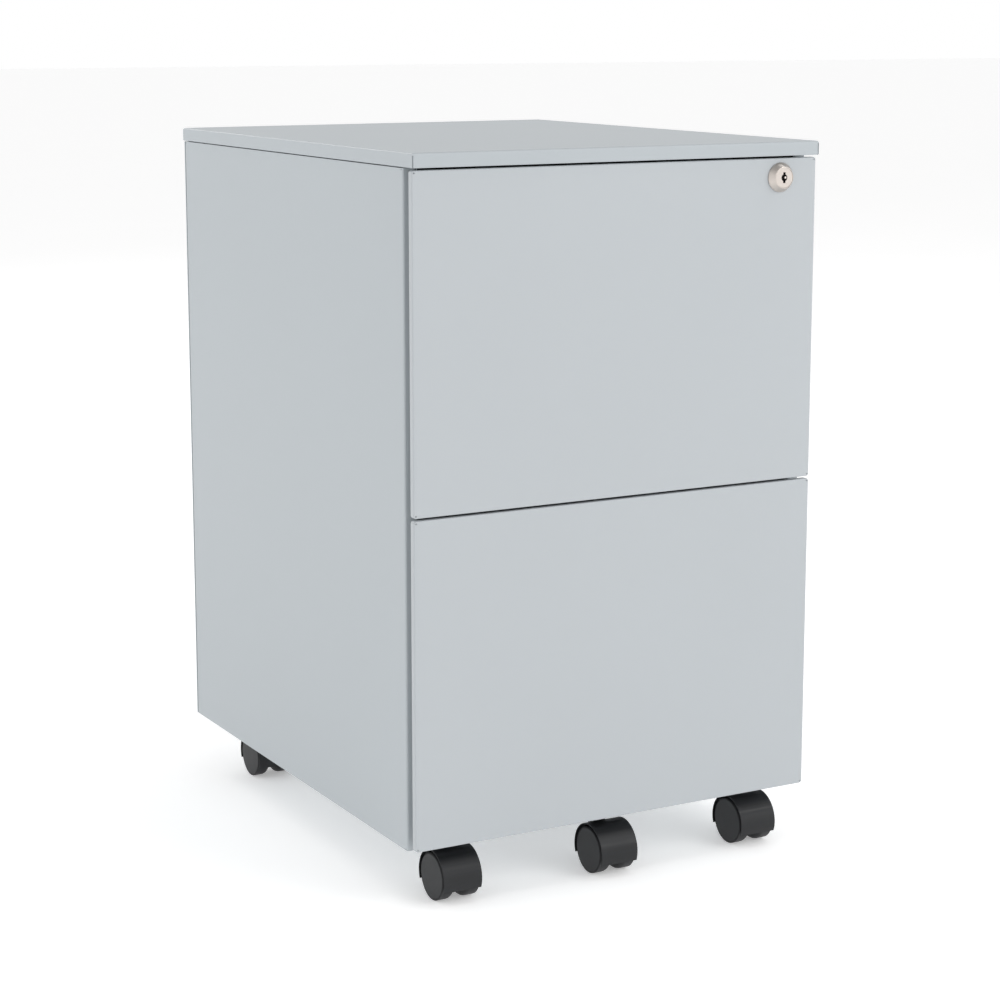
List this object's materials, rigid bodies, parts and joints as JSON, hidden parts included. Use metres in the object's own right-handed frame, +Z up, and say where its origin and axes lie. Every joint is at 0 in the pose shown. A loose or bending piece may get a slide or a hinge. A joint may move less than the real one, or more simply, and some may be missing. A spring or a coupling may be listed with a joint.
{
  "type": "mobile filing pedestal",
  "caption": "Mobile metal filing pedestal with handle-less file drawers, finger-pull side edges, a round cam lock and hooded twin-wheel casters.",
  "frame": {"origin": "on the floor, under the middle of the bounding box", "axes": "+X to the right as seen from the front, +Y to the back, +Z up; the drawer fronts face -Y"},
  "size_m": [0.39, 0.4876, 0.626],
  "materials": {
    "carcass_paint": "fine satin powder coat",
    "front_paint": "fine satin powder coat",
    "zinc": "bright zinc plate",
    "lock_nickel": "satin nickel",
    "black_plastic": "satin",
    "wheel_plastic": "matt"
  },
  "bodies": {
    "cabinet": {"top_panel": "carcass_paint", "left_side_panel": "carcass_paint", "right_side_panel": "carcass_paint", "back_panel": "carcass_paint", "base_pan": "carcass_paint", "front_top_rail": "carcass_paint", "upper_drawer_slide_left_outer": "zinc", "upper_drawer_slide_right_outer": "zinc", "lower_drawer_slide_left_outer": "zinc", "lower_drawer_slide_right_outer": "zinc", "caster_front_left_plate": "zinc", "caster_front_right_plate": "zinc", "caster_rear_left_plate": "zinc", "caster_rear_right_plate": "zinc"},
    "upper_drawer": {"upper_drawer_front": "front_paint", "upper_drawer_liner": "carcass_paint", "upper_drawer_tray": "carcass_paint", "upper_drawer_back": "carcass_paint", "upper_drawer_slide_left_inner": "zinc", "upper_drawer_slide_right_inner": "zinc", "lock_housing": "lock_nickel"},
    "upper_drawer_slide_middles": {"upper_drawer_slide_left_middle": "zinc", "upper_drawer_slide_right_middle": "zinc"},
    "lower_drawer": {"lower_drawer_front": "front_paint", "lower_drawer_liner": "carcass_paint", "lower_drawer_tray": "carcass_paint", "lower_drawer_back": "carcass_paint", "lower_drawer_slide_left_inner": "zinc", "lower_drawer_slide_right_inner": "zinc", "anti_tilt_bracket": "carcass_paint", "caster_anti_tilt_plate": "zinc"},
    "lower_drawer_slide_middles": {"lower_drawer_slide_left_middle": "zinc", "lower_drawer_slide_right_middle": "zinc"},
    "lock_plug": {"lock_plug": "lock_nickel", "lock_cam": "zinc"},
    "caster_front_left_swivel": {"caster_front_left_hood": "black_plastic", "caster_front_left_axle": "zinc"},
    "caster_front_left_left_wheel": {"caster_front_left_wheel_left": "wheel_plastic"},
    "caster_front_left_right_wheel": {"caster_front_left_wheel_right": "wheel_plastic"},
    "caster_front_right_swivel": {"caster_front_right_hood": "black_plastic", "caster_front_right_axle": "zinc"},
    "caster_front_right_left_wheel": {"caster_front_right_wheel_left": "wheel_plastic"},
    "caster_front_right_right_wheel": {"caster_front_right_wheel_right": "wheel_plastic"},
    "caster_rear_left_swivel": {"caster_rear_left_hood": "black_plastic", "caster_rear_left_axle": "zinc"},
    "caster_rear_left_left_wheel": {"caster_rear_left_wheel_left": "wheel_plastic"},
    "caster_rear_left_right_wheel": {"caster_rear_left_wheel_right": "wheel_plastic"},
    "caster_rear_right_swivel": {"caster_rear_right_hood": "black_plastic", "caster_rear_right_axle": "zinc"},
    "caster_rear_right_left_wheel": {"caster_rear_right_wheel_left": "wheel_plastic"},
    "caster_rear_right_right_wheel": {"caster_rear_right_wheel_right": "wheel_plastic"},
    "caster_anti_tilt_swivel": {"caster_anti_tilt_hood": "black_plastic", "caster_anti_tilt_axle": "zinc"},
    "caster_anti_tilt_left_wheel": {"caster_anti_tilt_wheel_left": "wheel_plastic"},
    "caster_anti_tilt_right_wheel": {"caster_anti_tilt_wheel_right": "wheel_plastic"}
  },
  "joints": [
    {"name": "upper_drawer_slide", "type": "slide", "parent": "cabinet", "child": "upper_drawer", "axis": [0, -1, 0], "range_m": [0, 0.4]},
    {"name": "upper_drawer_slide_middles_slide", "type": "slide", "parent": "cabinet", "child": "upper_drawer_slide_middles", "axis": [0, -1, 0], "range_m": [0, 0.2]},
    {"name": "lower_drawer_slide", "type": "slide", "parent": "cabinet", "child": "lower_drawer", "axis": [0, -1, 0], "range_m": [0, 0.4]},
    {"name": "lower_drawer_slide_middles_slide", "type": "slide", "parent": "cabinet", "child": "lower_drawer_slide_middles", "axis": [0, -1, 0], "range_m": [0, 0.2]},
    {"name": "lock_turn", "type": "hinge", "parent": "upper_drawer", "child": "lock_plug", "pos_m": [0.157, -0.23745, 0.5958], "axis": [0, 1, 0], "range_deg": [0, 90]},
    {"name": "caster_front_left_swivel_turn", "type": "hinge", "parent": "cabinet", "child": "caster_front_left_swivel", "pos_m": [-0.149, -0.19615, 0.045], "axis": [0, 0, 1], "continuous": true},
    {"name": "caster_front_left_left_wheel_spin", "type": "hinge", "parent": "caster_front_left_swivel", "child": "caster_front_left_left_wheel", "pos_m": [-0.1602, -0.21215, 0.02025], "axis": [1, 0, 0], "continuous": true},
    {"name": "caster_front_left_right_wheel_spin", "type": "hinge", "parent": "caster_front_left_swivel", "child": "caster_front_left_right_wheel", "pos_m": [-0.1378, -0.21215, 0.02025], "axis": [1, 0, 0], "continuous": true},
    {"name": "caster_front_right_swivel_turn", "type": "hinge", "parent": "cabinet", "child": "caster_front_right_swivel", "pos_m": [0.149, -0.19615, 0.045], "axis": [0, 0, 1], "continuous": true},
    {"name": "caster_front_right_left_wheel_spin", "type": "hinge", "parent": "caster_front_right_swivel", "child": "caster_front_right_left_wheel", "pos_m": [0.1378, -0.21215, 0.02025], "axis": [1, 0, 0], "continuous": true},
    {"name": "caster_front_right_right_wheel_spin", "type": "hinge", "parent": "caster_front_right_swivel", "child": "caster_front_right_right_wheel", "pos_m": [0.1602, -0.21215, 0.02025], "axis": [1, 0, 0], "continuous": true},
    {"name": "caster_rear_left_swivel_turn", "type": "hinge", "parent": "cabinet", "child": "caster_rear_left_swivel", "pos_m": [-0.149, 0.19115, 0.045], "axis": [0, 0, 1], "continuous": true},
    {"name": "caster_rear_left_left_wheel_spin", "type": "hinge", "parent": "caster_rear_left_swivel", "child": "caster_rear_left_left_wheel", "pos_m": [-0.1602, 0.17515, 0.02025], "axis": [1, 0, 0], "continuous": true},
    {"name": "caster_rear_left_right_wheel_spin", "type": "hinge", "parent": "caster_rear_left_swivel", "child": "caster_rear_left_right_wheel", "pos_m": [-0.1378, 0.17515, 0.02025], "axis": [1, 0, 0], "continuous": true},
    {"name": "caster_rear_right_swivel_turn", "type": "hinge", "parent": "cabinet", "child": "caster_rear_right_swivel", "pos_m": [0.149, 0.19115, 0.045], "axis": [0, 0, 1], "continuous": true},
    {"name": "caster_rear_right_left_wheel_spin", "type": "hinge", "parent": "caster_rear_right_swivel", "child": "caster_rear_right_left_wheel", "pos_m": [0.1378, 0.17515, 0.02025], "axis": [1, 0, 0], "continuous": true},
    {"name": "caster_rear_right_right_wheel_spin", "type": "hinge", "parent": "caster_rear_right_swivel", "child": "caster_rear_right_right_wheel", "pos_m": [0.1602, 0.17515, 0.02025], "axis": [1, 0, 0], "continuous": true},
    {"name": "caster_anti_tilt_swivel_turn", "type": "hinge", "parent": "lower_drawer", "child": "caster_anti_tilt_swivel", "pos_m": [0, -0.20295, 0.045], "axis": [0, 0, 1], "continuous": true},
    {"name": "caster_anti_tilt_left_wheel_spin", "type": "hinge", "parent": "caster_anti_tilt_swivel", "child": "caster_anti_tilt_left_wheel", "pos_m": [-0.0112, -0.21895, 0.02025], "axis": [1, 0, 0], "continuous": true},
    {"name": "caster_anti_tilt_right_wheel_spin", "type": "hinge", "parent": "caster_anti_tilt_swivel", "child": "caster_anti_tilt_right_wheel", "pos_m": [0.0112, -0.21895, 0.02025], "axis": [1, 0, 0], "continuous": true}
  ],
  "couplings": [
    {"joint": "upper_drawer_slide_middles_slide", "follows": "upper_drawer_slide", "ratio": 0.5},
    {"joint": "lower_drawer_slide_middles_slide", "follows": "lower_drawer_slide", "ratio": 0.5}
  ]
}
